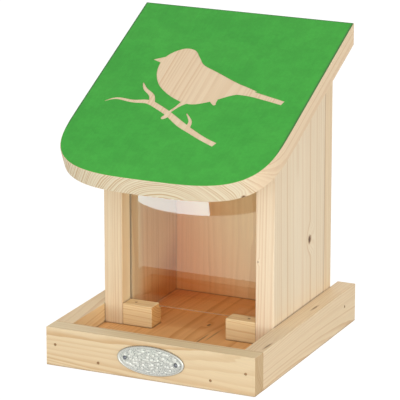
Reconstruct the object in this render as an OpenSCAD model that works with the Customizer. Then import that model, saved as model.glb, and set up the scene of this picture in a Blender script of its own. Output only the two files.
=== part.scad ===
// Hopper bird feeder: a railed tray, a three-sided seed house with a clear
// window raised on two blocks, and a painted roof that hinges at the rear.
// Millimetres. X runs to the right, the front faces -Y and Z is up. The origin
// is on the ground, under the middle of the feeder's width and depth.

/* [Tray] */
// Thickness of the front rail
front_rail_t = 12.7; // [8:0.1:18]
// Thickness of the two side rails
side_rail_t = 12.7; // [8:0.1:18]
// Height of the three rails
rail_h = 25.4; // [20:0.1:40]
// Thickness of the tray floor
floor_t = 12.7; // [9:0.1:16]
// Tray floor in front of the house, measured from the tray's front face
porch_d = 57.6; // [45:0.1:80]
// Tray floor left open behind the back board
rear_ledge = 12.6; // [6:0.1:25]

/* [House] */
// Outside width of the house, over both side boards
house_w = 119.2; // [104:0.2:160]
// Thickness of the side boards
side_t = 12.7; // [9:0.1:18]
// Depth of the side boards, front edge to rear edge
side_d = 81.4; // [70:0.2:120]
// Thickness of the back board
back_t = 12; // [9:0.5:18]
// Height of the back board's rear edge above the tray floor
back_h = 177.4; // [160:0.2:230]

/* [Window and feed gap] */
// Thickness of the clear pane
pane_t = 2; // [1.5:0.1:4]
// Set-back of the pane's front face from the side boards' front edges
pane_setback = 12; // [9:0.5:20]
// Room between the pane's top and the shut roof
pane_headroom = 9; // [8.5:0.5:30]
// Depth of the saw groove that holds the pane's edge
groove_depth = 5; // [3:0.5:6]
// Play between the pane's edge and the bottom of each groove
pane_end_play = 0.5; // [0.2:0.1:1]
// Play between the pane's faces and the walls of its grooves
pane_face_play = 0.3; // [0.2:0.05:0.6]
// Gap between the pane and the ledges that it stands on
pane_seat = 0.2; // [0.1:0.05:0.3]
// Width of each feed block
block_w = 21; // [14:0.5:30]
// Height of each feed block
block_h = 14.3; // [10:0.1:22]
// Wood left behind the pane on each feed block's ledge
block_lip = 0.5; // [0.4:0.1:4]
// Depth of the ledge that carries the pane, below the block's top
ledge_drop = 3; // [2:0.5:5]

/* [Roof] */
// Thickness of the roof board
roof_t = 12.7; // [9:0.1:18]
// Reach of the roof's underside past the tray's front face
roof_front_overhang = -1.5; // [-5:0.5:20]
// Overhang of the roof past each side board
roof_side_overhang = 14.2; // [5:0.1:30]
// Slope of the roof
roof_slope = 25.4; // [18:0.1:30]
// Length of the roof's rounded front, along the slope
roof_round_len = 62; // [20:1:90]
// Squareness of the rounded front, where 2 is half an ellipse
roof_round_power = 3.5; // [2:0.1:8]
// Gap between the shut roof and the house
roof_gap = 0.2; // [0.1:0.05:0.5]
// Thickness of the coat of paint
paint_t = 0.3; // [0.2:0.05:0.5]
// Bare wood left between the paint and the roof's edges
paint_margin = 0.4; // [0.2:0.1:3]
// Width of the bare songbird and twig, across the roof
bird_w = 116.6; // [60:0.2:118]
// Length of the figure, along the slope
bird_h = 90.8; // [60:0.2:92]
// Distance from the roof's front edge up to the figure's lowest point
bird_rise = 37.6; // [30:0.2:50]

/* [Hinges] */
// Length of each hinge
hinge_len = 25; // [20:1:34]
// Distance from the house's side to the near end of the hinge
hinge_inset = 15.5; // [6:0.5:17]
// Wood left bare above each hinge, on the roof's rear face
hinge_top_margin = 2.5; // [1.5:0.1:3.5]
// Thickness of a hinge leaf
leaf_t = 0.8; // [0.6:0.1:1.2]
// Outside radius of the hinge knuckles
knuckle_r = 1.6; // [1.4:0.1:2]
// Radius of the hinge pin
pin_r = 0.8; // [0.6:0.1:1]
// Number of knuckles on each hinge
knuckles = 5; // [3:2:7]

/* [Fasteners] */
// Shank radius of the nails
nail_r = 0.6; // [0.4:0.05:0.75]
// Head radius of the nails
nail_head_r = 0.9; // [0.85:0.05:1.6]
// Length of the nails in the rails and the back board
nail_len = 26; // [20:1:32]
// Length of the nails that come up through the tray floor
floor_nail_len = 30; // [24:1:34]
// How far right of the middle the pair of nails from the front rail into the floor sits
floor_pair_x = 3.2; // [-4:0.2:4]
// Wood left under the points of the feed blocks' nails
block_nail_cover = 5; // [2:0.5:7]
// Shank radius of the hinge screws
screw_r = 0.9; // [0.7:0.05:1.1]
// Head radius of the hinge screws
screw_head_r = 1.9; // [1.5:0.1:2.1]
// Length of the hinge screws under the head
screw_len = 9; // [6:0.5:10]

/* [Oval plate] */
// Width of the oval plate
plate_w = 46; // [38:0.5:60]
// How far right of the middle the oval plate sits
plate_x = 1.2; // [-10:0.2:10]
// Height of the oval plate
plate_h = 19; // [12:0.5:19]
// Thickness of the plate's field
plate_t = 0.8; // [0.5:0.1:1.5]
// Width of the plate's raised rim
plate_rim_w = 1.2; // [0.8:0.1:1.6]
// Height of the raised rim above the field
plate_rim_h = 0.4; // [0.2:0.1:0.8]
// Distance from the plate's end to the middle of its nail
plate_nail_inset = 5.4; // [4:0.2:9]
// Head radius of the plate's nails
plate_nail_head_r = 1.4; // [1:0.1:2]
// Length of the plate's nails under the head
plate_nail_len = 8; // [5:0.5:11]

/* [Hidden] */
$fn = 64;
fit = 0.05;                 // radial clearance of a nail, screw or pin in its hole
cut = 1;                    // how far a cutting shape runs past the face it cuts
nail_head_t = 0.8;
nail_sink = 0.3;            // nail heads are set this far below the wood
point_len = 2.5;            // taper at the end of a nail or screw
point_share = 0.25;         // radius left at the point, as a share of the shank's
screw_head_t = 1.1;
screw_slot_w = 0.5;
screw_slot_d = 0.5;
hinge_seat = 0.1;           // between a hinge and the wood behind it
knuckle_gap = 0.2;          // between neighbouring knuckles
knuckle_relief = 0.25;      // between a knuckle and the other leaf's cut-out
plate_seat = 0.1;           // between the plate and the rail
plate_nail_head_t = 1;
span_points = 6;            // points on each span of a smooth outline
oval_points = 72;
roof_round_points = 48;

pine = [0.89, 0.79, 0.62];
pine_dark = [0.82, 0.69, 0.50];
green = [0.28, 0.66, 0.26];
zinc = [0.72, 0.74, 0.74];
brass = [0.76, 0.64, 0.36];
clear = [0.85, 0.93, 0.95, 0.35];

// Heights, and depths measured from the tray's front face
tray_w = house_w + 2 * side_rail_t;
back_front_y = porch_d + side_d;
back_rear_y = back_front_y + back_t;
back_mid_y = back_front_y + back_t / 2;
tray_d = back_rear_y + rear_ledge;
joint_z = floor_t + back_h;
half_in = house_w / 2 - side_t;
side_mid_x = house_w / 2 - side_t / 2;

// Window and feed blocks
pane_front_y = porch_d + pane_setback;
pane_w = 2 * (half_in + groove_depth - pane_end_play);
block_d = pane_setback + pane_t + block_lip;
block_top = floor_t + block_h;
ledge_z = block_top - ledge_drop;
pane_z = ledge_z + pane_seat;
pane_h = top_z(pane_front_y) + roof_gap - pane_headroom - pane_z;

// Roof, with its length taken along the underside
roof_w = house_w + 2 * roof_side_overhang;
roof_len = (back_rear_y + roof_front_overhang) / cos(roof_slope);
roof_rear_top = roof_t * tan(roof_slope);
roof_front_y = -roof_front_overhang - roof_t * sin(roof_slope);
y_mid = (min(roof_front_y, 0) + tray_d) / 2;

// Hinges and their screws
hinge_x = house_w / 2 - hinge_inset - hinge_len / 2;
hinge_y = back_rear_y + hinge_seat + knuckle_r;
hinge_z = joint_z + roof_gap / 2;
leaf_h = roof_t / cos(roof_slope) - hinge_top_margin;
screw_rise = (knuckle_r + leaf_h) / 2;
screw_x = hinge_len * 0.3;
knuckle_w = hinge_len / knuckles;

// Nails
front_nail_z = rail_h * 0.56;
side_nail_z = floor_t + nail_head_r + 1.3;
floor_nail_z = floor_t / 2;
floor_nail_x = house_w * 0.326;
back_floor_nail_x = house_w / 4;
block_nail_x = half_in - block_w / 3;
block_nail_y = porch_d + pane_setback / 2;
block_nail_len = block_top - block_nail_cover;
plate_nail_x = plate_w / 2 - plate_nail_inset;
plate_z = rail_h * 0.52;

// Height of the house's sloping top at depth y
function top_z(y) = joint_z - (back_rear_y - y) * tan(roof_slope);

// Catmull-Rom curve from b to c
function curve(a, b, c, d, t) =
    0.5 * (2 * b + (c - a) * t + (2 * a - 5 * b + 4 * c - d) * t * t
           + (3 * b - a - 3 * c + d) * t * t * t);

// Smooth closed outline through the points p
function smooth_loop(p) =
    let (n = len(p))
    [for (i = [0 : n - 1]) for (k = [0 : span_points - 1])
        curve(p[(i + n - 1) % n], p[i], p[(i + 1) % n], p[(i + 2) % n], k / span_points)];

// Smooth line through the points p, ends included
function smooth_line(p) =
    let (n = len(p))
    [for (i = [0 : n - 2]) for (k = [0 : span_points - 1])
        curve(p[max(i - 1, 0)], p[i], p[i + 1], p[min(i + 2, n - 1)], k / span_points),
     p[n - 1]];

// Unit normal of a line at its point i
function normal_at(p, i) =
    let (d = p[min(i + 1, len(p) - 1)] - p[max(i - 1, 0)], l = norm([d[0], d[1]]))
    [-d[1] / l, d[0] / l];

// Outline of a tapering stroke whose points are [x, y, half width]
function stroke(path) =
    let (p = smooth_line(path), n = len(p))
    concat([for (i = [0 : n - 1]) [p[i][0], p[i][1]] + p[i][2] * normal_at(p, i)],
           [for (i = [n - 1 : -1 : 0]) [p[i][0], p[i][1]] - p[i][2] * normal_at(p, i)]);

function oval(w, h) = [for (i = [0 : oval_points - 1])
    [w / 2 * cos(360 * i / oval_points), h / 2 * sin(360 * i / oval_points)]];

// Songbird on a twig, drawn figure_w wide and figure_h long, with Y up the slope
figure_w = 117;
figure_h = 94;
bird_body = [
    [-38, 79], [-35.5, 87], [-28, 94], [-20, 93.5], [-13.5, 86], [-8, 79.5], [3, 74], [16, 67.5],
    [28, 61.5], [31, 56.5], [21, 51], [10, 43], [-2, 38.5], [-16, 43.5], [-28, 52.5], [-34.5, 62], [-37.5, 71]
];
bird_beak = [[-44.5, 79.5], [-36.5, 84], [-37, 76.5]];
bird_wing_tip = [[8, 62, 5], [22, 61, 3.4], [37, 58.6, 0.3]];
bird_tail = [[20, 58.5, 5.5], [33, 56, 3], [46, 53, 2.4], [58, 50, 2.2]];
bird_legs = [
    [[-5, 42, 3.2], [-8.5, 35.5, 1.4], [-12, 28.5, 1.2]],
    [[12, 46, 3], [13.5, 42.5, 1.6], [15, 40.5, 0.8]]
];
twigs = [
    [[-59, 32.5, 0.4], [-52, 36.5, 1.1], [-40, 35.5, 1.6], [-30, 36.5, 2.2], [-21, 32.5, 2.3],
     [-11, 26.5, 2.3], [0, 18.5, 2.7], [10, 12.5, 2.3], [20, 7, 2.1], [30, 2.5, 2.2]],
    [[-27, 35.5, 2.2], [-30, 43, 1.8], [-37, 49, 1.3], [-41, 55, 0.4]],
    [[6, 14.5, 2], [5.5, 22, 1.2], [0, 29.5, 0.4]],
    [[-11, 27, 2], [-13, 23.4, 1.9], [-14.5, 21.4, 1.1]]
];

// The points p of the figure, drawn out to its width and length
function sized(p) = [for (q = p) [q[0] * bird_w / figure_w, q[1] * bird_h / figure_h]];

module songbird() {
    polygon(sized(smooth_loop(bird_body)));
    polygon(sized(bird_beak));
    polygon(sized(stroke(bird_wing_tip)));
    polygon(sized(stroke(bird_tail)));
    for (leg = bird_legs) polygon(sized(stroke(leg)));
    for (twig = twigs) polygon(sized(stroke(twig)));
}

// Moves depths measured from the tray's front face to the origin in the middle
module place() translate([0, -y_mid, 0]) children();

module both_sides() {
    children();
    mirror([1, 0, 0]) children();
}

// A nail along +Z from a surface at z = 0; a grow above 0 makes its hole
module nail(length, grow = 0) {
    head_from = grow > 0 ? -cut : nail_sink;
    head_to = nail_sink + nail_head_t;
    point_from = length - point_len;
    translate([0, 0, head_from]) cylinder(r = nail_head_r + grow, h = head_to + grow - head_from);
    translate([0, 0, head_to]) cylinder(r = nail_r + grow, h = point_from - head_to);
    translate([0, 0, point_from])
        cylinder(r1 = nail_r + grow, r2 = nail_r * point_share + grow, h = point_len + grow);
}

// A slotted screw along +Z, its head seated on z = 0; a grow above 0 makes its hole
module screw(grow = 0) {
    shank_from = grow > 0 ? -cut : 0;
    point_from = screw_len - point_len;
    if (grow == 0) difference() {
        translate([0, 0, -screw_head_t]) cylinder(r = screw_head_r, h = screw_head_t);
        translate([-screw_head_r - cut, -screw_slot_w / 2, -screw_head_t - cut])
            cube([2 * (screw_head_r + cut), screw_slot_w, screw_slot_d + cut]);
    }
    translate([0, 0, shank_from]) cylinder(r = screw_r + grow, h = point_from - shank_from);
    translate([0, 0, point_from])
        cylinder(r1 = screw_r + grow, r2 = screw_r * point_share + grow, h = point_len + grow);
}

module front_nail_set(grow = 0) {
    both_sides() translate([tray_w / 2 - side_rail_t / 2, 0, front_nail_z])
        rotate([-90, 0, 0]) nail(nail_len, grow);
    translate([floor_pair_x, 0, 0]) both_sides() translate([floor_nail_x, 0, floor_nail_z])
        rotate([-90, 0, 0]) nail(nail_len, grow);
}

module side_nail_set(grow = 0) both_sides()
    translate([tray_w / 2, back_mid_y, side_nail_z]) rotate([0, -90, 0]) nail(nail_len, grow);

module floor_nail_set(grow = 0) both_sides() {
    for (share = [0.4, 0.8])
        translate([side_mid_x, porch_d + side_d * share, 0]) nail(floor_nail_len, grow);
    translate([back_floor_nail_x, back_mid_y, 0]) nail(floor_nail_len, grow);
}

module back_nail_set(grow = 0) both_sides()
    for (share = [0.2, 0.5, 0.8])
        translate([side_mid_x, back_rear_y, floor_t + back_h * share])
            rotate([90, 0, 0]) nail(nail_len, grow);

module block_nail_set(grow = 0) both_sides()
    translate([block_nail_x, block_nail_y, block_top]) rotate([180, 0, 0]) nail(block_nail_len, grow);

module plate_nail_set(grow = 0) translate([plate_x, 0, 0]) both_sides()
    translate([plate_nail_x, -plate_seat - plate_t, plate_z]) rotate([-90, 0, 0]) {
        translate([0, 0, -plate_nail_head_t]) cylinder(r = plate_nail_head_r, h = plate_nail_head_t);
        cylinder(r = nail_r + grow, h = plate_nail_len + grow);
    }

// Puts the origin on the pin's axis, at the middle of the hinge on one side
module at_hinge(side) translate([side * hinge_x, hinge_y, hinge_z]) children();

// Screws of the roof leaves where up is 1, and of the house leaves where it is -1
module leaf_screws(up, grow = 0)
    for (side = [-1, 1], end = [-1, 1])
        at_hinge(side) translate([end * screw_x, leaf_t - knuckle_r, up * screw_rise])
            rotate([90, 0, 0]) screw(grow);

module floor_board() color(pine_dark) place() difference() {
    translate([-house_w / 2, front_rail_t, 0]) cube([house_w, tray_d - front_rail_t, floor_t]);
    front_nail_set(fit);
    floor_nail_set(fit);
    block_nail_set(fit);
}

module front_rail() color(pine) place() difference() {
    translate([-tray_w / 2, 0, 0]) cube([tray_w, front_rail_t, rail_h]);
    front_nail_set(fit);
    plate_nail_set(fit);
}

module side_rail(side) color(pine) place() difference() {
    translate([side > 0 ? house_w / 2 : -tray_w / 2, front_rail_t, 0])
        cube([side_rail_t, tray_d - front_rail_t, rail_h]);
    front_nail_set(fit);
    side_nail_set(fit);
}

// A board standing on the tray floor from depth y0 to y1, cut to the roof's slope
module sloped_board(x0, width, y0, y1)
    translate([x0, 0, 0]) rotate([90, 0, 90]) linear_extrude(width)
        polygon([[y0, floor_t], [y1, floor_t], [y1, top_z(y1)], [y0, top_z(y0)]]);

module side_board(side) color(pine) place() difference() {
    groove_x = side > 0 ? half_in - cut : -half_in - groove_depth;
    sloped_board(side > 0 ? half_in : -house_w / 2, side_t, porch_d, back_front_y);
    translate([groove_x, pane_front_y - pane_face_play, floor_t - cut])
        cube([groove_depth + cut, pane_t + 2 * pane_face_play, back_h + 2 * cut]);
    floor_nail_set(fit);
    back_nail_set(fit);
}

module back_board() color(pine) place() difference() {
    sloped_board(-house_w / 2, house_w, back_front_y, back_rear_y);
    side_nail_set(fit);
    floor_nail_set(fit);
    back_nail_set(fit);
    leaf_screws(-1, fit);
}

module feed_block(side) color(pine_dark) place() difference() {
    translate([side > 0 ? half_in - block_w : -half_in, porch_d, floor_t])
        cube([block_w, block_d, block_h]);
    translate([-house_w / 2, pane_front_y - pane_face_play, ledge_z])
        cube([house_w, block_d, block_h]);
    block_nail_set(fit);
}

module window_pane() color(clear) place()
    translate([-pane_w / 2, pane_front_y, pane_z]) cube([pane_w, pane_t, pane_h]);

// Lies in the roof's own plane: Y up the slope and Z square to it, with the
// origin on the underside at the rear face
module on_slope() translate([0, back_rear_y, joint_z + roof_gap]) rotate([roof_slope, 0, 0]) children();

// Outline of the roof, drawn in by margin, with its front rounded over the whole width
module roof_outline(margin) {
    half = roof_w / 2 - margin;
    front = margin - roof_len;
    rear = roof_rear_top - margin;
    round_len = roof_round_len - margin;
    polygon(concat(
        [for (i = [0 : roof_round_points])
            let (share = sin(180 * i / roof_round_points - 90),
                 drop = pow(max(0, 1 - pow(abs(share), roof_round_power)), 1 / roof_round_power))
            [half * share, front + round_len * (1 - drop)]],
        [[half, rear], [-half, rear]]));
}

module roof_board() color(pine) place() difference() {
    on_slope() intersection() {
        linear_extrude(roof_t) roof_outline(0);
        translate([-roof_w / 2, 0, 0]) rotate([90, 0, 90]) linear_extrude(roof_w)
            polygon([[-roof_len, 0], [0, 0], [roof_rear_top, roof_t], [-roof_len, roof_t]]);
    }
    leaf_screws(1, fit);
}

module roof_paint() color(green) place() on_slope() translate([0, 0, roof_t])
    linear_extrude(paint_t) difference() {
        roof_outline(paint_margin);
        translate([0, bird_rise - roof_len]) songbird();
    }

// The house leaf carries the even knuckles and the roof leaf the odd ones
function on_leaf(k, up) = (k % 2 == 1) == (up > 0);

// Knuckle k, longer by spare at each end
module knuckle(k, radius, spare)
    translate([-hinge_len / 2 + k * knuckle_w - spare, 0, 0])
        rotate([0, 90, 0]) cylinder(r = radius, h = knuckle_w + 2 * spare);

module hinge_leaf(side, up) color(brass) place() difference() {
    at_hinge(side) difference() {
        union() {
            translate([-hinge_len / 2, -knuckle_r, up > 0 ? 0 : -leaf_h])
                cube([hinge_len, leaf_t, leaf_h]);
            for (k = [0 : knuckles - 1])
                if (on_leaf(k, up)) knuckle(k, knuckle_r, -knuckle_gap / 2);
        }
        for (k = [0 : knuckles - 1])
            if (!on_leaf(k, up)) knuckle(k, knuckle_r + knuckle_relief, knuckle_gap / 2);
        translate([-hinge_len, 0, 0]) rotate([0, 90, 0]) cylinder(r = pin_r + fit, h = 2 * hinge_len);
    }
    leaf_screws(up, fit);
}

module hinge_pin(side) color(brass) place() at_hinge(side)
    translate([-hinge_len / 2, 0, 0]) rotate([0, 90, 0]) cylinder(r = pin_r, h = hinge_len);

module screws(up) color(brass) place() leaf_screws(up);

module front_rail_nails() color(zinc) place() front_nail_set();

module side_rail_nails() color(zinc) place() side_nail_set();

module floor_nails() color(zinc) place() floor_nail_set();

module back_nails() color(zinc) place() back_nail_set();

module block_nails() color(zinc) place() block_nail_set();

module plate_nails() color(zinc) place() plate_nail_set();

module oval_plate() color(zinc) place() difference() {
    translate([plate_x, -plate_seat, plate_z]) rotate([90, 0, 0]) {
        linear_extrude(plate_t) polygon(oval(plate_w, plate_h));
        linear_extrude(plate_t + plate_rim_h) difference() {
            polygon(oval(plate_w, plate_h));
            polygon(oval(plate_w - 2 * plate_rim_w, plate_h - 2 * plate_rim_w));
        }
    }
    plate_nail_set(fit);
}

floor_board();
front_rail();
side_rail(-1);  // left_rail
side_rail(1);  // right_rail
side_board(-1);  // left_side_board
side_board(1);  // right_side_board
back_board();
feed_block(-1);  // left_feed_block
feed_block(1);  // right_feed_block
window_pane();
roof_board();
roof_paint();
hinge_leaf(-1, -1);  // left_hinge_house_leaf
hinge_leaf(-1, 1);  // left_hinge_roof_leaf
hinge_pin(-1);  // left_hinge_pin
hinge_leaf(1, -1);  // right_hinge_house_leaf
hinge_leaf(1, 1);  // right_hinge_roof_leaf
hinge_pin(1);  // right_hinge_pin
screws(-1);  // house_leaf_screws
screws(1);  // roof_leaf_screws
front_rail_nails();
side_rail_nails();
floor_nails();
back_nails();
block_nails();
oval_plate();
plate_nails();
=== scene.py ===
"""Looks of a small wooden hopper bird feeder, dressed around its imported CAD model.

Boards get eased edges and solid pine with its own grain, the roof its coat of paint, the window a clear
pane, and the oval plate its stamped relief. Lengths are in millimetres unless a name ends in _m or _M, and
the scales of noise are in waves per millimetre.
"""
import math
from collections import namedtuple

import bmesh
import bpy
from mathutils import Matrix, Vector, noise


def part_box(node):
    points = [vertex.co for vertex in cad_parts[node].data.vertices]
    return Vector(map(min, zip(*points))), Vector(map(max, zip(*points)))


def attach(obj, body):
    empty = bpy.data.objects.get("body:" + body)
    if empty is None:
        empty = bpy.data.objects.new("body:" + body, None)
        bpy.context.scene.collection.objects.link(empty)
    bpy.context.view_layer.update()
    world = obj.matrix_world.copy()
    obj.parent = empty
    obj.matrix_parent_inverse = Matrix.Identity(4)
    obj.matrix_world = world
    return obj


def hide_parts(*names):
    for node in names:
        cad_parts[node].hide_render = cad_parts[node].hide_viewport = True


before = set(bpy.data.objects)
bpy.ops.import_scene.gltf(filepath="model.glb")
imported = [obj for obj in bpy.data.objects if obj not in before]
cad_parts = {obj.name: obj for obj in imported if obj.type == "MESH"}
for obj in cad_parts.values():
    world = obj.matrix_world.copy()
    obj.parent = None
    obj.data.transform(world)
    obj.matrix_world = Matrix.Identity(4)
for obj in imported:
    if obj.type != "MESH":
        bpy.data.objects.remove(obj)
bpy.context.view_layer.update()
MM = 0.001


def placed(node):
    """Lowest and highest corner of a CAD node, in millimetres."""
    low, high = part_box(node)
    return low / MM, high / MM


# Directions, the roof's slope as it is modelled, and places that the frame gives
RIGHT, BACK, UP = Vector((1, 0, 0)), Vector((0, 1, 0)), Vector((0, 0, 1))
ROOF_SLOPE = math.radians(25.4)
UP_SLOPE = Vector((0, math.cos(ROOF_SLOPE), math.sin(ROOF_SLOPE)))
TRAY_FRONT = placed("front_rail")[0].y
ROOF_HIGH = placed("roof_board")[1]
PLATE_LOW, PLATE_HIGH = placed("oval_plate")

# Camera, fitted to corners of the feeder in the photograph
PHOTO_WIDTH_PX = 400
FOCAL_PX = 2941.8
SENSOR_MM = 36.0
CAMERA_AT_M = Vector((0.758877, -1.636709, 0.626239))
CAMERA_AIM_M = Vector((-0.002086, 0.000174, 0.096033))
CAMERA_ROLL = math.radians(-0.039)
NEAREST_M, FARTHEST_M = 0.05, 60


class Graph:
    """Short calls for building one material's nodes."""

    def __init__(self, name):
        self.material = bpy.data.materials.new(name)
        self.material.use_nodes = True
        self.tree = self.material.node_tree
        self.tree.nodes.clear()
        self.out = self.tree.nodes.new("ShaderNodeOutputMaterial")

    def new(self, kind, **settings):
        made = self.tree.nodes.new("ShaderNode" + kind)
        for name, value in settings.items():
            setattr(made, name, value)
        return made

    def put(self, socket, value):
        """Links a socket to the input, or sets the input to a plain value."""
        if isinstance(value, bpy.types.NodeSocket):
            self.tree.links.new(value, socket)
        elif isinstance(value, (int, float)):
            socket.default_value = value
        elif len(socket.default_value) == 4 and len(value) == 3:
            socket.default_value = (*value, 1.0)
        else:
            socket.default_value = value

    def filled(self, kind, **inputs):
        """A new node with values or links on its sockets, each called by its own name."""
        made = self.new(kind)
        for name, value in inputs.items():
            self.put(made.inputs[name.replace("_", " ")], value)
        return made

    def math(self, operation, a, b=0.0):
        made = self.new("Math", operation=operation)
        self.put(made.inputs[0], a)
        self.put(made.inputs[1], b)
        return made.outputs[0]

    def plus(self, a, b):
        return self.math("ADD", a, b)

    def times(self, a, b):
        return self.math("MULTIPLY", a, b)

    def vector(self, operation, a, b=(0, 0, 0)):
        made = self.new("VectorMath", operation=operation)
        self.put(made.inputs[0], a)
        self.put(made.inputs["Scale" if operation == "SCALE" else 1], b)
        return made.outputs["Value" if operation in ("DOT_PRODUCT", "LENGTH") else "Vector"]

    def dot(self, a, direction):
        """How far a vector reaches in a fixed direction."""
        return self.vector("DOT_PRODUCT", a, tuple(direction))

    def tint(self, colour, factor):
        """A colour multiplied by a grey factor, or by another colour."""
        if isinstance(factor, (tuple, Vector)):
            return self.vector("MULTIPLY", colour, factor)
        return self.vector("SCALE", colour, factor)

    def join(self, x, y, z):
        made = self.new("CombineXYZ")
        for socket, value in zip(made.inputs, (x, y, z)):
            self.put(socket, value)
        return made.outputs[0]

    def place_and_normal(self):
        """Object coordinates in millimetres, and the normal of the face."""
        coords = self.new("TexCoord")
        return self.vector("SCALE", coords.outputs["Object"], 1 / MM), coords.outputs["Normal"]

    def noise(self, at, scale=1.0, detail=2.0, roughness=0.5):
        made = self.filled("TexNoise", Vector=at, Scale=scale, Detail=detail, Roughness=roughness)
        return made.outputs["Fac"]

    def wander(self, at, scale, detail):
        """A noise vector around zero."""
        made = self.filled("TexNoise", Vector=at, Scale=scale, Detail=detail)
        return self.vector("SUBTRACT", made.outputs["Color"], (0.5, 0.5, 0.5))

    def random(self, value):
        made = self.new("TexWhiteNoise", noise_dimensions="1D")
        self.put(made.inputs["W"], value)
        return made.outputs["Value"]

    def step(self, value, low, high, to_low=0.0, to_high=1.0):
        """A smooth step from to_low at low to to_high at high."""
        made = self.new("MapRange", interpolation_type="SMOOTHSTEP")
        for socket, given in zip(made.inputs, (value, low, high, to_low, to_high)):
            self.put(socket, given)
        return made.outputs[0]

    def spread(self, value, low, high):
        """A 0 to 1 value spread evenly between low and high."""
        made = self.new("MapRange")
        for socket, given in zip(made.inputs, (value, 0.0, 1.0, low, high)):
            self.put(socket, given)
        return made.outputs[0]

    def mix(self, share, a, b):
        made = self.new("Mix", data_type="RGBA")
        for socket, value in zip((made.inputs[0], made.inputs[6], made.inputs[7]), (share, a, b)):
            self.put(socket, value)
        return made.outputs[2]

    def bump(self, height, strength, distance_m, under=None):
        made = self.filled("Bump", Strength=strength, Distance=distance_m, Height=height)
        if under is not None:
            self.put(made.inputs["Normal"], under)
        return made.outputs[0]

    def either(self, share, first, second):
        """A shader that turns from the first to the second with the share."""
        made = self.new("MixShader")
        for socket, value in zip(made.inputs, (share, first.outputs[0], second.outputs[0])):
            self.put(socket, value)
        return made

    def end(self, shader):
        """Ends the graph in a shader and gives the finished material."""
        self.put(self.out.inputs["Surface"], shader.outputs[0])
        return self.material

    def surface(self, colour, roughness, normal, **plain):
        """Ends the graph in a Principled surface; plain values go straight to its sockets."""
        return self.end(self.filled("BsdfPrincipled", Base_Color=colour, Roughness=roughness, Normal=normal,
                                    **plain))


# Detail and roughness of noise, as fine as fibres or as coarse as grit
FINE, GRITTY = (3.0, 0.6), (3.0, 0.65)

# What a board of pine can be given, beside its grain. The first two paint light and shade:
# a tint for the faces that look one way, and a tint that grows along an axis on those faces
FacingLight = namedtuple("FacingLight", "facing tint")
LightDrift = namedtuple("LightDrift", "axis first last tint")
Joint = namedtuple("Joint", "axis first last")
Mark = namedtuple("Mark", "place facing radius stretch dark")

# Colours of the pine, some with the largest share that they are mixed in with
EARLY_WOOD = Vector((0.87, 0.72, 0.50))
LATE_WOOD = Vector((0.66, 0.43, 0.225))
STREAK_COLOUR, STREAK_SHARE = (0.74, 0.48, 0.29), 0.10
PATCH_COLOUR, PATCH_SHARE = (0.84, 0.62, 0.42), 0.18
KNOT_CORE = (0.10, 0.045, 0.02)
KNOT_RIM, KNOT_RIM_SHARE = (0.42, 0.22, 0.09), 0.75
JOINT_DIRT, JOINT_SHARE = (0.30, 0.15, 0.08), 0.30
# Painted shade: seams and inside corners darken toward this colour, as far as ambient occlusion finds them
SEAM_SHADE = (0.18, 0.08, 0.03)
SEAM_REACH_M, SEAM_RAYS = 2.2 * MM, 8
SEAM_OPENNESS = (0.84, 0.42)
PINE_ROUGHNESS, PINE_SHINE = (0.54, 0.68), 0.28
LATE_RELIEF, FIBRE_RELIEF = 0.35, 0.5
RELIEF_STRENGTH, RELIEF_DEPTH_M = 0.22, 0.25 * MM

# Scales of the pine's patterns across the grain, and how much slower they change along it
TRUNK_SCALE, RIPPLE_SCALE, PATCH_SCALE, TRUNK_SLOWNESS = 0.028, 0.16, 0.022, 0.12
FIBRE_SCALE, FIBRE_SLOWNESS = 1.7, 0.03
STREAK_SCALE, STREAK_SLOWNESS, STREAK_SHIFT = 0.33, 0.02, 31
TRUNK_WANDER, RIPPLE_WANDER = 9, 0.9
FIBRE_TONES = (0.91, 1.08)
STREAK_STEP, PATCH_STEP = (0.52, 0.74), (0.35, 0.70)

# One year's growth, from 0 to 1: its late wood starts slowly and ends sharply
LATE_START, LATE_END = (0.25, 0.88), (1.0, 0.93)
YEAR_STRENGTH = (0.12, 1.15)
YEAR_SCALE, YEAR_SHIFT = 0.37, 1.3

# Cosines between a face and a direction, from not at all to fully counted as facing that way
ACROSS_GRAIN, FACES_INSIDE = (0.45, 0.90), (0.50, 0.90)

# Marks in radii: reach of the push on the rings, the push itself, and how ragged the outline is
MARK_REACH, MARK_PUSH, MARK_RAGGED = (0.6, 5), 1.5, 0.35
MARK_RIM, MARK_CORE, MARK_FLATNESS = (1.5, 0.9), (1.0, 0.5), 0.4
MARK_RAGGED_SCALE = 0.9


def mark_in_wood(g, at, grain, over, mark, radius):
    """Pushes the rings aside at a mark. Gives their new radius, and the shares of its rim and core."""
    facing = mark.facing.normalized()
    lengthwise = over if abs(facing.dot(grain)) > 0.7 else grain
    across = facing.cross(lengthwise).normalized()
    offset = g.vector("SUBTRACT", at, tuple(mark.place))
    dx = g.dot(offset, across)
    dy = g.times(g.dot(offset, lengthwise), 1 / mark.stretch)
    dz = g.times(g.dot(offset, facing), MARK_FLATNESS)
    span = g.vector("LENGTH", g.join(dx, dy, dz))
    ragged = g.noise(at, MARK_RAGGED_SCALE)
    ragged = g.spread(ragged, -MARK_RAGGED * mark.radius, MARK_RAGGED * mark.radius)
    rough_span = g.plus(span, ragged)
    push = g.step(span, mark.radius * MARK_REACH[0], mark.radius * MARK_REACH[1], 1.0, 0.0)
    radius = g.plus(radius, g.times(push, mark.radius * MARK_PUSH))
    rim, core = (g.step(rough_span, mark.radius * start, mark.radius * full)
                 for start, full in (MARK_RIM, MARK_CORE))
    return radius, rim, core


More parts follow.
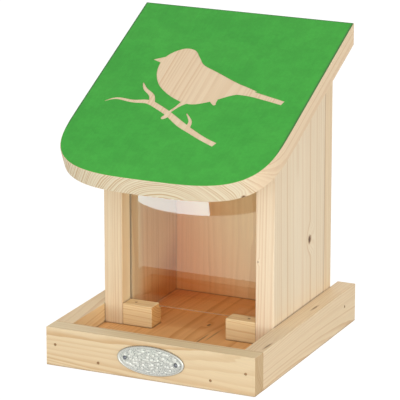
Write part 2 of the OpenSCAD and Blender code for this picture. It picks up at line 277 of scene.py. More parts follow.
def late_wood(g, radius, ring, seed):
    """Share of late wood at a radius, in rings of uneven width and strength."""
    turns = g.math("DIVIDE", radius, ring)
    uneven = g.noise(g.join(g.times(turns, YEAR_SCALE), seed, 0.0), detail=1.0)
    turns = g.plus(turns, g.spread(uneven, -YEAR_SHIFT, YEAR_SHIFT))
    part = g.math("FRACT", turns)
    strength = g.spread(g.random(g.math("FLOOR", turns)), *YEAR_STRENGTH)
    return g.times(g.times(g.step(part, *LATE_START), g.step(part, *LATE_END)), strength)


def pine(name, grain, pith, ring, contrast, tone, waver=1.6, ends=(0.90, 0.82, 0.74), end_contrast=None,
         inner=None, drifts=(), marks=(), joint=None, seam_share=0.6, seed=0.0):
    """Solid pine: growth rings about a pith line, with fibres along the grain.

    grain is the direction of the fibres, and pith a point on the middle of the tree. ring is the width of
    one year's growth, contrast the share of its late wood that shows, and waver says how far the trunk
    wanders. tone tints all of the board, and ends its faces across the grain. inner paints light and
    shade on the faces that look one way, mostly into the house, and drifts paint gradients of light and
    shade along those faces. marks are knots, dents and streaks: stretch is their length over their width.
    joint is the dirt in an outer joint, and seam_share says how dark the painted shade gets in the seams
    and inside corners. seed moves the board to another stretch of the noise.
    """
    g = Graph(name)
    grain = grain.normalized()
    side = grain.cross(UP if abs(grain.z) < 0.9 else RIGHT).normalized()
    over = grain.cross(side)
    at, facing = g.place_and_normal()
    from_pith = g.vector("SUBTRACT", at, tuple(pith))
    u, v, w = (g.dot(from_pith, direction) for direction in (side, over, grain))
    trunk = g.join(g.plus(u, seed), v, g.times(w, TRUNK_SLOWNESS))

    # The trunk wavers slowly, and its rings more finely
    sway = g.vector("SCALE", g.wander(trunk, TRUNK_SCALE, 1.0), TRUNK_WANDER * waver)
    ripple = g.vector("SCALE", g.wander(trunk, RIPPLE_SCALE, 2.0), RIPPLE_WANDER * waver)
    moved = g.vector("ADD", g.vector("ADD", g.join(u, v, 0.0), sway), ripple)
    radius = g.vector("LENGTH", g.vector("MULTIPLY", moved, (1, 1, 0)))

    spots = []
    for mark in marks:
        radius, rim, core = mark_in_wood(g, at, grain, over, mark, radius)
        spots.append((rim, core, mark.dark))
    late = late_wood(g, radius, ring, seed)
    cut = g.step(g.math("ABSOLUTE", g.dot(facing, grain)), *ACROSS_GRAIN)
    lines = g.spread(cut, contrast, contrast if end_contrast is None else end_contrast)
    colour = g.mix(g.times(late, lines), EARLY_WOOD, LATE_WOOD)

    # Fibres, broad streaks and patches of tone
    fine = g.noise(g.join(u, v, g.times(w, FIBRE_SLOWNESS)), FIBRE_SCALE, *FINE)
    beside = g.join(g.plus(u, seed + STREAK_SHIFT), v, g.times(w, STREAK_SLOWNESS))
    streak = g.noise(beside, STREAK_SCALE)
    patch = g.noise(trunk, PATCH_SCALE, detail=1.0)
    colour = g.tint(colour, g.spread(fine, *FIBRE_TONES))
    colour = g.mix(g.step(streak, *STREAK_STEP, 0.0, STREAK_SHARE), colour, STREAK_COLOUR)
    colour = g.mix(g.step(patch, *PATCH_STEP, 0.0, PATCH_SHARE), colour, PATCH_COLOUR)
    colour = g.tint(colour, tone)

    # Faces across the grain have their own tint. Faces that look one way, mostly into the house, get
    # painted light and shade, and gradients of it along an axis
    colour = g.mix(cut, colour, g.tint(colour, ends))
    inside = 1.0
    if inner:
        inside = g.step(g.dot(facing, inner.facing), *FACES_INSIDE)
        colour = g.mix(inside, colour, g.tint(colour, inner.tint))
    for drift in drifts:
        depth = g.step(g.dot(at, drift.axis), drift.first, drift.last)
        colour = g.mix(g.times(depth, inside), colour, g.tint(colour, drift.tint))
    for rim, core, dark in spots:
        colour = g.mix(g.times(rim, KNOT_RIM_SHARE * dark), colour, KNOT_RIM)
        colour = g.mix(g.times(core, dark), colour, KNOT_CORE)

    # Dirt gathers in the outer joints, and seams and inside corners get painted shade where ambient
    # occlusion finds them
    if joint:
        near = g.step(g.dot(at, joint.axis), joint.first, joint.last, 0.0, JOINT_SHARE)
        colour = g.mix(g.times(near, g.math("SUBTRACT", 1.0, inside)), colour, JOINT_DIRT)
    seam = g.new("AmbientOcclusion", samples=SEAM_RAYS)
    g.put(seam.inputs["Distance"], SEAM_REACH_M)
    colour = g.mix(g.step(seam.outputs["AO"], *SEAM_OPENNESS, 0.0, seam_share), colour, SEAM_SHADE)

    relief = g.plus(g.times(late, LATE_RELIEF), g.times(fine, FIBRE_RELIEF))
    normal = g.bump(relief, RELIEF_STRENGTH, RELIEF_DEPTH_M)
    return g.surface(colour, g.spread(fine, *PINE_ROUGHNESS), normal, Specular_IOR_Level=PINE_SHINE)


# Green coat: two greens that drift into each other, and the dark rim along the roof's sides and rear
GREENS = (0.056, 0.405, 0.052), (0.063, 0.425, 0.056)
GREENS_SCALE, GREENS_STEP = 0.03, (0.35, 0.65)
RIM_GREEN, RIM_SHARE = (0.065, 0.16, 0.06), 0.8
SIDE_RIM_FROM, SIDE_RIM_FULL = 1.9, 0.8
REAR_RIM_FROM, REAR_RIM_FULL = 1.7, 0.5

# Its mottling, each with the noise that it follows from dark to light, and the fibres that show through
MOTTLE_SCALE, MOTTLE_STEP, MOTTLE_TONES = 0.55, (0.34, 0.68), (0.965, 1.035)
BLOTCH_SCALE, BLOTCH_STEP, BLOTCH_TONES = 0.11, (0.36, 0.66), (0.95, 1.05)
COAT_FIBRE_SCALE, COAT_FIBRE_SLOWNESS, COAT_FIBRE_TONES = 1.1, 0.04, (0.92, 1.08)
COAT_ROUGHNESS, COAT_SHINE = (0.46, 0.58), 0.18
COAT_FIBRE_RELIEF, MOTTLE_RELIEF, COAT_DEPTH_M = 0.25, 0.12, 0.2 * MM


def paint():
    """Green coat, rolled on: slightly uneven, with the wood's fibres showing through as relief."""
    g = Graph("green_paint")
    at = g.place_and_normal()[0]
    across = g.dot(at, RIGHT)
    fibres = g.join(across, g.times(g.dot(at, UP_SLOPE), COAT_FIBRE_SLOWNESS), 0.0)
    fibres = g.noise(fibres, COAT_FIBRE_SCALE, *FINE)
    mottle = g.noise(at, MOTTLE_SCALE, *GRITTY)
    blotch = g.noise(at, BLOTCH_SCALE, *FINE)
    colour = g.mix(g.step(g.noise(at, GREENS_SCALE), *GREENS_STEP), *GREENS)
    colour = g.tint(colour, g.step(mottle, *MOTTLE_STEP, *MOTTLE_TONES))
    colour = g.tint(colour, g.step(blotch, *BLOTCH_STEP, *BLOTCH_TONES))
    colour = g.tint(colour, g.spread(fibres, *COAT_FIBRE_TONES))
    sides = g.step(g.math("ABSOLUTE", across), ROOF_HIGH.x - SIDE_RIM_FROM, ROOF_HIGH.x - SIDE_RIM_FULL)
    rear = g.step(g.dot(at, BACK), ROOF_HIGH.y - REAR_RIM_FROM, ROOF_HIGH.y - REAR_RIM_FULL)
    colour = g.mix(g.times(g.math("MAXIMUM", sides, rear), RIM_SHARE), colour, RIM_GREEN)
    normal = g.bump(fibres, COAT_FIBRE_RELIEF, COAT_DEPTH_M)
    normal = g.bump(mottle, MOTTLE_RELIEF, COAT_DEPTH_M, normal)
    return g.surface(colour, g.spread(mottle, *COAT_ROUGHNESS), normal, Specular_IOR_Level=COAT_SHINE)


# The pane's outside mirrors for both of its faces at once, and never less than PANE_REFLECTANCE
ACRYLIC_IOR = 1.49
PANE_FACES = 1.95
PANE_REFLECTANCE = 0.095
PANE_CLEAR, PANE_ROUGHNESS = (0.985, 0.99, 0.985), 0.02
PANE_EDGE, PANE_EDGE_SHARE = (0.90, 0.78, 0.62), 0.32
PANE_EDGE_FACES = (0.75, 0.35)


def clear_sheet():
    """Clear acrylic: light passes straight through, its outside mirrors a share, and its edges are pale."""
    g = Graph("clear_acrylic")
    facing = g.place_and_normal()[1]
    clear = g.filled("BsdfTransparent", Color=PANE_CLEAR)
    mirror = g.filled("BsdfGlossy", Color=(1, 1, 1), Roughness=PANE_ROUGHNESS)
    both_faces = g.times(g.filled("Fresnel", IOR=ACRYLIC_IOR).outputs[0], PANE_FACES)
    share = g.math("MINIMUM", g.math("MAXIMUM", both_faces, PANE_REFLECTANCE), 1.0)
    outside = g.math("SUBTRACT", 1.0, g.new("NewGeometry").outputs["Backfacing"])
    seen = g.math("SUBTRACT", 1.0, g.new("LightPath").outputs["Is Shadow Ray"])
    sheet = g.either(g.times(share, g.times(outside, seen)), clear, mirror)
    edge = g.step(g.math("ABSOLUTE", g.dot(facing, BACK)), *PANE_EDGE_FACES, 0.0, PANE_EDGE_SHARE)
    return g.end(g.either(edge, sheet, g.filled("BsdfDiffuse", Color=PANE_EDGE)))


# Metal: its brushing, and the film on it, which also makes it rougher
BRUSH_SCALE, BRUSH_TONES = 6.0, (0.90, 1.08)
BRUSH_RELIEF, BRUSH_DEPTH_M = 0.15, 0.05 * MM
FILM_SCALE, FILM_STEP = 1.2, (0.45, 0.75)
SMOOTHER, ROUGHER = 0.06, 0.10


def metal(name, colour, roughness, grime, grime_share):
    """Metal with fine brushing and a dull film in patches."""
    g = Graph(name)
    at = g.place_and_normal()[0]
    brush = g.noise(at, BRUSH_SCALE, *FINE)
    film = g.noise(at, FILM_SCALE, *FINE)
    mixed = g.mix(g.step(film, *FILM_STEP, 0.0, grime_share), colour, grime)
    mixed = g.tint(mixed, g.spread(brush, *BRUSH_TONES))
    normal = g.bump(brush, BRUSH_RELIEF, BRUSH_DEPTH_M)
    return g.surface(mixed, g.spread(film, roughness - SMOOTHER, roughness + ROUGHER), normal, Metallic=1.0)


# Stamped metal of the plate, dull in about half of its stipple and only where its relief is low
PEWTER_BRIGHT, PEWTER_DULL, PEWTER_DULL_SHARE = (0.62, 0.62, 0.575), (0.19, 0.21, 0.21), 0.85
STIPPLE_SCALE, STIPPLE_STEP = 1.5, (0.46, 0.60)
STIPPLE_RELIEF, STIPPLE_DEPTH_M = 0.5, 0.25 * MM
DULL_HEIGHTS = (0.80, 0.62)
SPECKLE_SCALE, SPECKLE_TONES = 5.0, (0.92, 1.06)
PEWTER_ROUGHNESS = (0.30, 0.46)


def pewter():
    """Stamped metal that stays bright on its raised parts and is dull in its hollows."""
    g = Graph("pewter")
    at = g.place_and_normal()[0]
    raised = g.new("Attribute", attribute_name="relief_height").outputs["Fac"]
    stipple = g.noise(at, STIPPLE_SCALE, *GRITTY)
    dull = g.times(g.step(stipple, *STIPPLE_STEP), g.step(raised, *DULL_HEIGHTS))
    colour = g.mix(g.times(dull, PEWTER_DULL_SHARE), PEWTER_BRIGHT, PEWTER_DULL)
    colour = g.tint(colour, g.spread(g.noise(at, SPECKLE_SCALE), *SPECKLE_TONES))
    normal = g.bump(stipple, STIPPLE_RELIEF, STIPPLE_DEPTH_M)
    return g.surface(colour, g.spread(stipple, *PEWTER_ROUGHNESS), normal, Metallic=1.0)


def even_normals(mesh, sharp):
    """Smooth shading that leaves wide faces flat: a corner's normal follows the larger faces around it."""
    mesh.polygons.foreach_set("use_smooth", [True] * len(mesh.polygons))
    around = [[] for _ in mesh.vertices]
    faces = [(face.normal.copy(), face.area) for face in mesh.polygons]
    for face in mesh.polygons:
        for corner in face.vertices:
            around[corner].append(face.index)
    limit = math.cos(sharp)
    normals = []
    for face in mesh.polygons:
        own = faces[face.index][0]
        for corner in face.vertices:
            total = Vector()
            for other in around[corner]:
                normal, area = faces[other]
                if normal.dot(own) > limit:
                    total += normal * area
            normals.append(total.normalized() if total.length > 0 else own)
    mesh.normals_split_custom_set(normals)


def new_object(name, data):
    """A new object in the scene."""
    made = bpy.data.objects.new(name, data)
    bpy.context.scene.collection.objects.link(made)
    return made


def coat(mesh, material):
    """Gives a mesh one material in the place of those that it has."""
    mesh.materials.clear()
    mesh.materials.append(material)


def finished_mesh(form, name):
    """The mesh of a form that was built in millimetres."""
    for vert in form.verts:
        vert.co *= MM
    bmesh.ops.recalc_face_normals(form, faces=form.faces)
    mesh = bpy.data.meshes.new(name)
    form.to_mesh(mesh)
    form.free()
    return mesh


# Angle between faces from which an edge looks sharp, on eased boards and on stamped or turned pieces
BOARD_CREASE, TURNED_CREASE = math.radians(34), math.radians(50)


def stand_in(node, mesh, body, material, sharp=BOARD_CREASE):
    """Puts a finished mesh in the scene, on its body, in the place of a CAD node."""
    even_normals(mesh, sharp)
    coat(mesh, material)
    piece = new_object(node + "_dressed", mesh)
    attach(piece, body)
    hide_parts(node)


# Edges of a CAD solid: what is one point, what is flat, and what is sharp enough to be eased
SAME_POINT = 0.001
FLAT = math.radians(0.4)
SHARP_EDGE = math.radians(35)


def eased(node, width, shortest=1.2, segments=3):
    """A copy of a CAD node's solid whose sharp edges are rounded over, from the shortest length up."""
    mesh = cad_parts[node].data.copy()
    mesh.name = node + "_dressed"
    form = bmesh.new()
    form.from_mesh(mesh)
    bmesh.ops.remove_doubles(form, verts=form.verts, dist=SAME_POINT * MM)
    bmesh.ops.dissolve_limit(form, angle_limit=FLAT, verts=form.verts, edges=form.edges)
    corners = [e for e in form.edges if e.is_manifold and e.calc_length() > shortest * MM
               and e.calc_face_angle() > SHARP_EDGE]
    bmesh.ops.bevel(form, geom=corners, offset=width * MM, offset_type="OFFSET", segments=segments,
                    profile=0.5, affect="EDGES", clamp_overlap=True, loop_slide=True)
    bmesh.ops.triangulate(form, faces=[f for f in form.faces if len(f.verts) > 4])
    form.normal_update()
    form.to_mesh(mesh)
    form.free()
    if mesh.has_custom_normals:
        mesh.attributes.remove(mesh.attributes["custom_normal"])
    return mesh


def pine_board(node, material_name, body="house", ease=0.4, **wood):
    """A board of its own pine, with eased edges."""
    stand_in(node, eased(node, ease), body, pine(material_name, **wood))


def make_floor():
    """Tray floor, with painted shade on its top: darkest where the house shades it, and pale behind the
    back board.
    """
    top = placed("floor_board")[1].z
    # Gradients of painted light and shade on the floor's top
    drifts = [LightDrift(BACK, -20, 40, (1.08, 1.0, 0.92)),
              LightDrift(BACK, 70, 71.5, (0.93, 1.40, 2.4)),
              LightDrift(Vector((-1, 0.6, 0)), 30, 85, (0.85, 0.60, 0.40)),
              LightDrift(Vector((-1, -0.6, 0)), 52, 80, (1.04, 1.18, 1.40))]
    marks = [Mark(Vector((4.4, -0.2, top)), UP, radius=0.9, stretch=2.4, dark=0.75),
             Mark(Vector((11.7, -27, top)), UP, radius=0.8, stretch=14, dark=0.40),
             Mark(Vector((15.5, -18, top)), UP, radius=0.7, stretch=16, dark=0.35)]
    pine_board("floor_board", "pine_floor", grain=Vector((0.02, 1, 0)), pith=Vector((14, 0, -30)), ring=2.4,
               contrast=0.7, tone=(1.0, 0.96, 0.90), inner=FacingLight(UP, (1.0, 0.72, 0.455)), drifts=drifts,
               marks=marks, seed=11.0)


def make_rails():
    """Front and side rails of the tray."""
    # Painted light: the front rail's top is paler, and the left rail's inner face gets its own tint
    pine_board("front_rail", "pine_front_rail", grain=Vector((1, 0.03, -0.10)),
               pith=Vector((0, TRAY_FRONT + 44, 38)), ring=1.8, contrast=0.84, tone=(0.90, 0.865, 0.79),
               ends=(0.84, 0.77, 0.68), end_contrast=0.9, inner=FacingLight(UP, (1.07, 1.13, 1.15)), seed=3.0)
    pine_board("left_rail", "pine_left_rail", grain=Vector((0.02, 1, 0.05)), pith=Vector((-40, 0, -14)),
               ring=2.3, contrast=0.5, tone=(0.98, 0.94, 0.86), inner=FacingLight(RIGHT, (1.03, 1.0, 0.88)),
               seed=19.0)
    top = placed("right_rail")[1].z
    marks = [Mark(Vector((70.0, -56, top)), UP, radius=0.7, stretch=9, dark=0.55),
             Mark(Vector((67.5, 25.5, top)), UP, radius=0.8, stretch=7, dark=0.55)]
    pine_board("right_rail", "pine_right_rail", grain=Vector((0.03, 1, 0.04)), pith=Vector((98, 0, -8)),
               ring=1.6, contrast=0.62, tone=(1.01, 0.99, 0.96), waver=1.1, marks=marks, seed=27.0)


def make_side_boards():
    """Side boards, with the outer joint to the back board along their rear edge, and painted light and
    shade inside.
    """
    joint = Joint(BACK, 57.5, 58.6)
    # Painted shade on the inner faces, deeper toward the back board and toward the bottom
    drifts = [LightDrift(BACK, -2, 14, (0.92, 0.69, 0.53)),
              LightDrift(Vector((0, 0.6, -1)), -32, 8, (0.72, 0.44, 0.20))]
    # Painted light: the left board's inner face is paler
    pine_board("left_side_board", "pine_left_side", grain=Vector((0, 0.01, 1)), pith=Vector((-100, -4, 90)),
               ring=1.7, contrast=0.62, tone=(0.94, 0.935, 0.925), inner=FacingLight(RIGHT, (1.15, 1.16, 1.06)),
               drifts=drifts, joint=joint, seam_share=0.35, seed=41.0)
    low, high = placed("right_side_board")
    marks = [Mark(Vector((low.x + 1.6, low.y, 67.6)), -BACK, radius=0.5, stretch=1.4, dark=0.4),
             Mark(Vector((high.x, low.y + 57.1, 68.0)), RIGHT, radius=2.2, stretch=1.25, dark=0.9),
             Mark(Vector((high.x, low.y + 38.9, 139.6)), RIGHT, radius=0.55, stretch=1.6, dark=0.7)]
    # Painted shade: the right board's inner face is warm and dark
    pine_board("right_side_board", "pine_right_side", grain=Vector((0, -0.012, 1)),
               pith=Vector((26, 18, 90)), ring=1.5, contrast=0.66, waver=0.7, tone=(1.03, 1.06, 1.12),
               inner=FacingLight(-RIGHT, (1.0, 0.78, 0.58)), joint=joint, marks=marks, seed=53.0)


def make_back_board():
    """Back board: painted shade on its inner face, darkest and red at lower left, paler to upper right."""
    # Gradients of painted light: paler toward the upper right and toward the top
    drifts = [LightDrift(Vector((1, 0, 0.45)), -38, 54, (1.32, 2.8, 6.2)),
              LightDrift(UP, 80, 100, (1.0, 1.12, 1.30))]
    pine_board("back_board", "pine_back", grain=Vector((0.012, 0, 1)), pith=Vector((8, 100, 90)), ring=2.0,
               contrast=0.38, tone=(1.0, 0.97, 0.94), inner=FacingLight(-BACK, (0.86, 0.40, 0.15)), drifts=drifts,
               joint=Joint(BACK, 60.6, 59.6), seam_share=0.25, seed=67.0)


def make_feed_blocks():
    """The two small blocks that carry the pane."""
    # Painted light: the blocks' tops get a paler tint
    for side, pith_x in (("left", -30), ("right", 44)):
        pine_board(side + "_feed_block", "pine_" + side + "_block", ease=0.7,
                   grain=Vector((1, 0.04, -0.06)), pith=Vector((pith_x, -4, 46)), ring=1.6, contrast=0.68,
                   tone=(0.99, 0.94, 0.78), ends=(0.86, 0.68, 0.46), end_contrast=0.95,
                   inner=FacingLight(UP, (1.09, 1.09, 1.08)), seam_share=0.5, seed=79.0 + pith_x)


def make_roof():
    """Roof board, with a small knot in its front edge, and its coat of paint."""
    knot = Mark(Vector((59.3, -69.2, 124.0)), -UP_SLOPE, radius=1.1, stretch=1.0, dark=0.95)
    pine_board("roof_board", "pine_roof", body="roof", ease=0.35, grain=UP_SLOPE, pith=Vector((10, 0, 130)),
               ring=1.4, contrast=0.6, tone=(1.0, 0.96, 0.95), waver=0.8, ends=(0.93, 1.05, 1.13),
               end_contrast=1.8, marks=[knot], seed=89.0)
    coat_mesh = eased("roof_paint", 0.12, shortest=0.3, segments=2)
    stand_in("roof_paint", coat_mesh, "roof", paint())


def make_window():
    sheet = eased("window_pane", 0.25, segments=2)
    stand_in("window_pane", sheet, "window", clear_sheet())


def make_metalwork():
    """Nails, hinges and screws. All but the hinge leaves keep their CAD meshes."""
    nail_steel = metal("nail_steel", (0.42, 0.255, 0.135), roughness=0.55, grime=(0.20, 0.11, 0.05),
                       grime_share=0.6)
    brass = metal("brass", (0.78, 0.60, 0.28), roughness=0.30, grime=(0.40, 0.29, 0.13), grime_share=0.35)
    for node in ("front_rail_nails", "side_rail_nails", "floor_nails", "back_nails", "block_nails"):
        coat(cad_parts[node].data, nail_steel)
    for node in ("left_hinge_pin", "right_hinge_pin", "house_leaf_screws", "roof_leaf_screws"):
        coat(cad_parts[node].data, brass)
    for side in ("left", "right"):
        for part, body in (("house_leaf", "house"), ("roof_leaf", "roof")):
            node = side + "_hinge_" + part
            stand_in(node, eased(node, 0.12), body, brass)


# The plate is laid out in rings, which narrow to its hub with a small power. Insets count from its edge
PLATE_RINGS, PLATE_SPOKES = 44, 192
NARROWING_POWER = 0.15

# Relief of the plate: heights in shares of its thickness, and insets and widths in millimetres
FIELD_HEIGHT, HUB_HEIGHT = 0.55, 0.8
GRIT_HEIGHT, GRIT_SCALE, GRIT_LAYER = 0.10, 1.7, 3.0
BOSS_HEIGHT, BOSS_SCALE, BOSS_LAYER, BOSS_RADIUS, BOSSES_INSIDE = 0.26, 0.44, 5.0, 0.60, 2.0
BEADS, BEAD_HEIGHT, BEAD_INSET, BEAD_WIDTH, BEADS_OUTSIDE = 72, 0.28, 1.45, 0.30, 1.9
RIM_HEIGHT, RIM_INSET, RIM_WIDTH = 0.38, 0.62, 0.42
EDGE_HEIGHT, EDGE_INSET = 0.62, 0.18


def plate_height(x, z, turn, inset):
    """Height of the plate's relief: a hammered field, a row of beads around it, and a raised rim."""
    if inset < BEADS_OUTSIDE:
        bead = 0.5 + 0.5 * math.cos(turn * BEADS)
        height = FIELD_HEIGHT + BEAD_HEIGHT * bead * math.exp(-((inset - BEAD_INSET) / BEAD_WIDTH) ** 2)
    else:
        grit = noise.noise(Vector((x * GRIT_SCALE, z * GRIT_SCALE, GRIT_LAYER))) * 0.5 + 0.5
        height = FIELD_HEIGHT + GRIT_HEIGHT * grit
    height += RIM_HEIGHT * math.exp(-((inset - RIM_INSET) / RIM_WIDTH) ** 4)
    if inset > BOSSES_INSIDE:
        from_boss = noise.voronoi(Vector((x, z, BOSS_LAYER)) * BOSS_SCALE)[0][0]
        height += BOSS_HEIGHT * max(0.0, 1 - (from_boss / BOSS_RADIUS) ** 2)
    if inset < EDGE_INSET:
        height = min(height, EDGE_HEIGHT)
    return min(height, 1.0)


def make_plate():
    """Stamped oval plate."""
    middle = (PLATE_LOW + PLATE_HIGH) / 2
    half_w, half_h = (PLATE_HIGH.x - PLATE_LOW.x) / 2, (PLATE_HIGH.z - PLATE_LOW.z) / 2
    thick = PLATE_HIGH.y - PLATE_LOW.y
    form = bmesh.new()
    relief = form.verts.layers.float.new("relief_height")
    rows = []
    for ring in range(1, PLATE_RINGS + 1):
        row = []
        for spoke in range(PLATE_SPOKES):
            turn = 2 * math.pi * spoke / PLATE_SPOKES
            inset = (1 - ring / PLATE_RINGS) * half_h
            share = 1 - inset / half_h
            x = (half_w - inset) * math.cos(turn) * share ** NARROWING_POWER
            z = (half_h - inset) * math.sin(turn)
            height = plate_height(x, z, turn, inset)
            row.append(form.verts.new((middle.x + x, PLATE_HIGH.y - height * thick, middle.z + z)))
            row[-1][relief] = height
        rows.append(row)
    rim = [form.verts.new((v.co.x, PLATE_HIGH.y, v.co.z)) for v in rows[-1]]
    rows.append(rim)
    hub = form.verts.new((middle.x, PLATE_HIGH.y - HUB_HEIGHT * thick, middle.z))
    hub[relief] = HUB_HEIGHT
    for spoke in range(PLATE_SPOKES):
        after = (spoke + 1) % PLATE_SPOKES
        form.faces.new((hub, rows[0][spoke], rows[0][after]))
        for inner, outer in zip(rows, rows[1:]):
            form.faces.new((inner[spoke], outer[spoke], outer[after], inner[after]))
    form.faces.new(rim[::-1])
    stand_in("oval_plate", finished_mesh(form, "oval_plate_dressed"), "house", pewter(),
             TURNED_CREASE)


# A plate nail, turned about its own line: distances from that line, and depths behind the top of the head
NAIL_PROFILE = [(0.0, 0.0), (0.45, 0.04), (0.85, 0.16), (1.18, 0.36), (1.36, 0.62), (1.40, 0.88),
                (0.62, 0.92)]
NAIL_HEAD_RADIUS = 1.4
NAIL_POINT = 1.2
NAIL_SIDES = 28


def make_plate_nails():
    """Round-headed nails that hold the plate, each turned from one profile."""
    low, high = placed("plate_nails")
    radius, length = (high.z - low.z) / 2, high.y - low.y
    turns = [2 * math.pi * i / NAIL_SIDES for i in range(NAIL_SIDES)]
    form = bmesh.new()
    for x in (low.x + radius, high.x - radius):
        centre = Vector((x, low.y, (low.z + high.z) / 2))
        outline = [(r * radius / NAIL_HEAD_RADIUS, d) for r, d in NAIL_PROFILE]
        outline += [(outline[-1][0], length - NAIL_POINT), (0.0, length)]
        tip = form.verts.new(centre)
        end = form.verts.new(centre + BACK * outline[-1][1])
        loops = []
        for r, d in outline[1:-1]:
            places = [centre + Vector((r * math.cos(a), d, r * math.sin(a))) for a in turns]
            loops.append([form.verts.new(place) for place in places])
        for i in range(NAIL_SIDES):
            j = (i + 1) % NAIL_SIDES
            form.faces.new((tip, loops[0][i], loops[0][j]))
            form.faces.new((end, loops[-1][j], loops[-1][i]))
            for one, two in zip(loops, loops[1:]):
                form.faces.new((one[i], two[i], two[j], one[j]))
    blued_steel = metal("blued_steel", (0.19, 0.20, 0.22), roughness=0.38, grime=(0.08, 0.08, 0.08),
                        grime_share=0.5)
    stand_in("plate_nails", finished_mesh(form, "plate_nails_dressed"), "house", blued_steel,
             TURNED_CREASE)


# The floor lights the feeder as a grey floor would. What looks at it sees a glow, and on it a faint shadow
FLOOR_SIZE_M = 12
FLOOR_COLOUR = (0.66, 0.66, 0.65)
FLOOR_GLOW = 0.88
FLOOR_SHADOW = (0.24, 0.24, 0.24)


def make_stage():
    """Pale floor that shows white to the camera and keeps a soft shadow."""
    bpy.ops.mesh.primitive_plane_add(size=FLOOR_SIZE_M)
    floor = bpy.context.object
    floor.name = "floor"
    g = Graph("floor")
    plain = g.filled("BsdfDiffuse", Color=FLOOR_COLOUR)
    seen = g.new("AddShader")
    g.put(seen.inputs[0], g.filled("Emission", Strength=FLOOR_GLOW).outputs[0])
    g.put(seen.inputs[1], g.filled("BsdfDiffuse", Color=FLOOR_SHADOW).outputs[0])
    path = g.new("LightPath")
    looks = g.math("MAXIMUM", path.outputs["Is Glossy Ray"], path.outputs["Is Transmission Ray"])
    looks = g.math("MAXIMUM", path.outputs["Is Camera Ray"], looks)
    coat(floor.data, g.end(g.either(looks, plain, seen)))


# Glowing cards on the floor that only mirrors see, painting the pane's reflection: a bright table top, and
# on it a lamp's glare beside a dark gap
TABLE_CORNERS = (Vector((-420, -345, 0.3)), Vector((260, -345, 0.3)), Vector((260, -175, 0.3)),
                 Vector((-420, -107, 0.3)))
TABLE_GLOW = (1.25, 1.36, 1.12)
GLARE_CENTRE = Vector((-138, -320, 0.6))
GLARE_HALF = Vector((53.5, 43.6, 0))
GLARE_SPLIT_NEAR = Vector((-116.0, -283.2, 0))
GLARE_SPLIT_FAR = Vector((-130.4, -312.6, 0))
GLARE_GLOW = (4.4, 5.8, 6.0)
GLARE_SIDES = 96


def glowing_card(name, corners, glow, split=None):
    """A flat card that only mirrors see. split is a point and a direction: what lies that way is cut."""
    form = bmesh.new()
    form.faces.new([form.verts.new(corner * MM) for corner in corners])
    if split:
        bmesh.ops.bisect_plane(form, geom=form.verts[:] + form.edges[:] + form.faces[:],
                               plane_co=split[0] * MM, plane_no=split[1], clear_outer=True)
    mesh = bpy.data.meshes.new(name)
    form.to_mesh(mesh)
    form.free()
    g = Graph(name)
    colour = tuple(c / max(*glow, 0.01) for c in glow)
    coat(mesh, g.end(g.filled("Emission", Color=colour, Strength=max(glow))))
    card = new_object(name, mesh)
    for ray in ("camera", "diffuse", "transmission", "shadow", "volume_scatter"):
        setattr(card, "visible_" + ray, False)


def make_reflection_cards():
    glowing_card("table_card", TABLE_CORNERS, TABLE_GLOW)
    turns = [2 * math.pi * i / GLARE_SIDES for i in range(GLARE_SIDES)]
    oval = [GLARE_CENTRE + Vector((GLARE_HALF.x * math.cos(a), GLARE_HALF.y * math.sin(a), 0))
            for a in turns]
    along = GLARE_SPLIT_FAR - GLARE_SPLIT_NEAR
    right_of = Vector((-along.y, along.x, 0))
    glowing_card("glare_card", oval, GLARE_GLOW, (GLARE_SPLIT_NEAR, right_of))
    glowing_card("gap_card", oval, (0, 0, 0), (GLARE_SPLIT_NEAR, -right_of))


# Lamps: place, width and height in metres, and power. All aim at the middle of the feeder
Lamp = namedtuple("Lamp", "name place_m width_m height_m watts")
LAMP_AIM_M = Vector((0, 0, 0.09))
LAMPS = [Lamp("front", Vector((0.34, -1.46, 0.28)), 1.4, 0.5, 4.3),
         Lamp("high", Vector((0.9, -1.6, 0.95)), 1.5, 1.0, 6.2),
         Lamp("right", Vector((1.7, -0.55, 0.35)), 1.0, 0.9, 6.1),
         Lamp("back", Vector((-1.1, 1.6, 0.8)), 1.2, 1.0, 5),
         Lamp("low", Vector((0.1, -0.9, 0.06)), 1.3, 0.12, 1.3)]


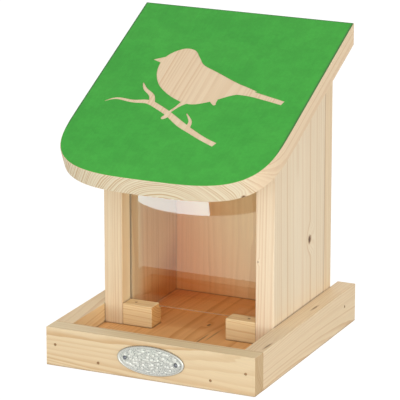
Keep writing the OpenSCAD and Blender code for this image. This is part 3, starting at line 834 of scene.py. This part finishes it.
def make_lamps():
    for lamp in LAMPS:
        data = bpy.data.lights.new(lamp.name, "AREA")
        data.shape = "RECTANGLE"
        data.size = lamp.width_m
        data.size_y = lamp.height_m
        data.energy = lamp.watts
        holder = new_object(lamp.name, data)
        holder.location = lamp.place_m
        holder.rotation_euler = (LAMP_AIM_M - lamp.place_m).to_track_quat("-Z", "Y").to_euler()


# The sky's light on the feeder, and the white that the camera sees in its place
SKY_COLOUR, SKY_STRENGTH = (1.0, 0.99, 0.975, 1), 0.66
BACKDROP_STRENGTH = 1.0


def make_sky():
    world = bpy.data.worlds.new("studio")
    bpy.context.scene.world = world
    world.use_nodes = True
    tree = world.node_tree
    tree.nodes.clear()
    out = tree.nodes.new("ShaderNodeOutputWorld")
    soft = tree.nodes.new("ShaderNodeBackground")
    soft.inputs["Color"].default_value = SKY_COLOUR
    soft.inputs["Strength"].default_value = SKY_STRENGTH
    white = tree.nodes.new("ShaderNodeBackground")
    white.inputs["Strength"].default_value = BACKDROP_STRENGTH
    path = tree.nodes.new("ShaderNodeLightPath")
    mix = tree.nodes.new("ShaderNodeMixShader")
    tree.links.new(path.outputs["Is Camera Ray"], mix.inputs[0])
    tree.links.new(soft.outputs[0], mix.inputs[1])
    tree.links.new(white.outputs[0], mix.inputs[2])
    tree.links.new(mix.outputs[0], out.inputs["Surface"])


def make_camera():
    data = bpy.data.cameras.new("camera")
    data.sensor_fit = "HORIZONTAL"
    data.sensor_width = SENSOR_MM
    data.lens = FOCAL_PX / PHOTO_WIDTH_PX * SENSOR_MM
    data.clip_start = NEAREST_M
    data.clip_end = FARTHEST_M
    camera = new_object("camera", data)
    turn = (CAMERA_AIM_M - CAMERA_AT_M).to_track_quat("-Z", "Y").to_matrix()
    turn = turn @ Matrix.Rotation(CAMERA_ROLL, 3, "Z")
    camera.matrix_world = Matrix.Translation(CAMERA_AT_M) @ turn.to_4x4()
    bpy.context.scene.camera = camera


bpy.context.scene.view_settings.view_transform = "Standard"
make_camera()
make_floor()
make_rails()
make_side_boards()
make_back_board()
make_feed_blocks()
make_roof()
make_window()
make_metalwork()
make_plate()
make_plate_nails()
make_stage()
make_reflection_cards()
make_sky()
make_lamps()
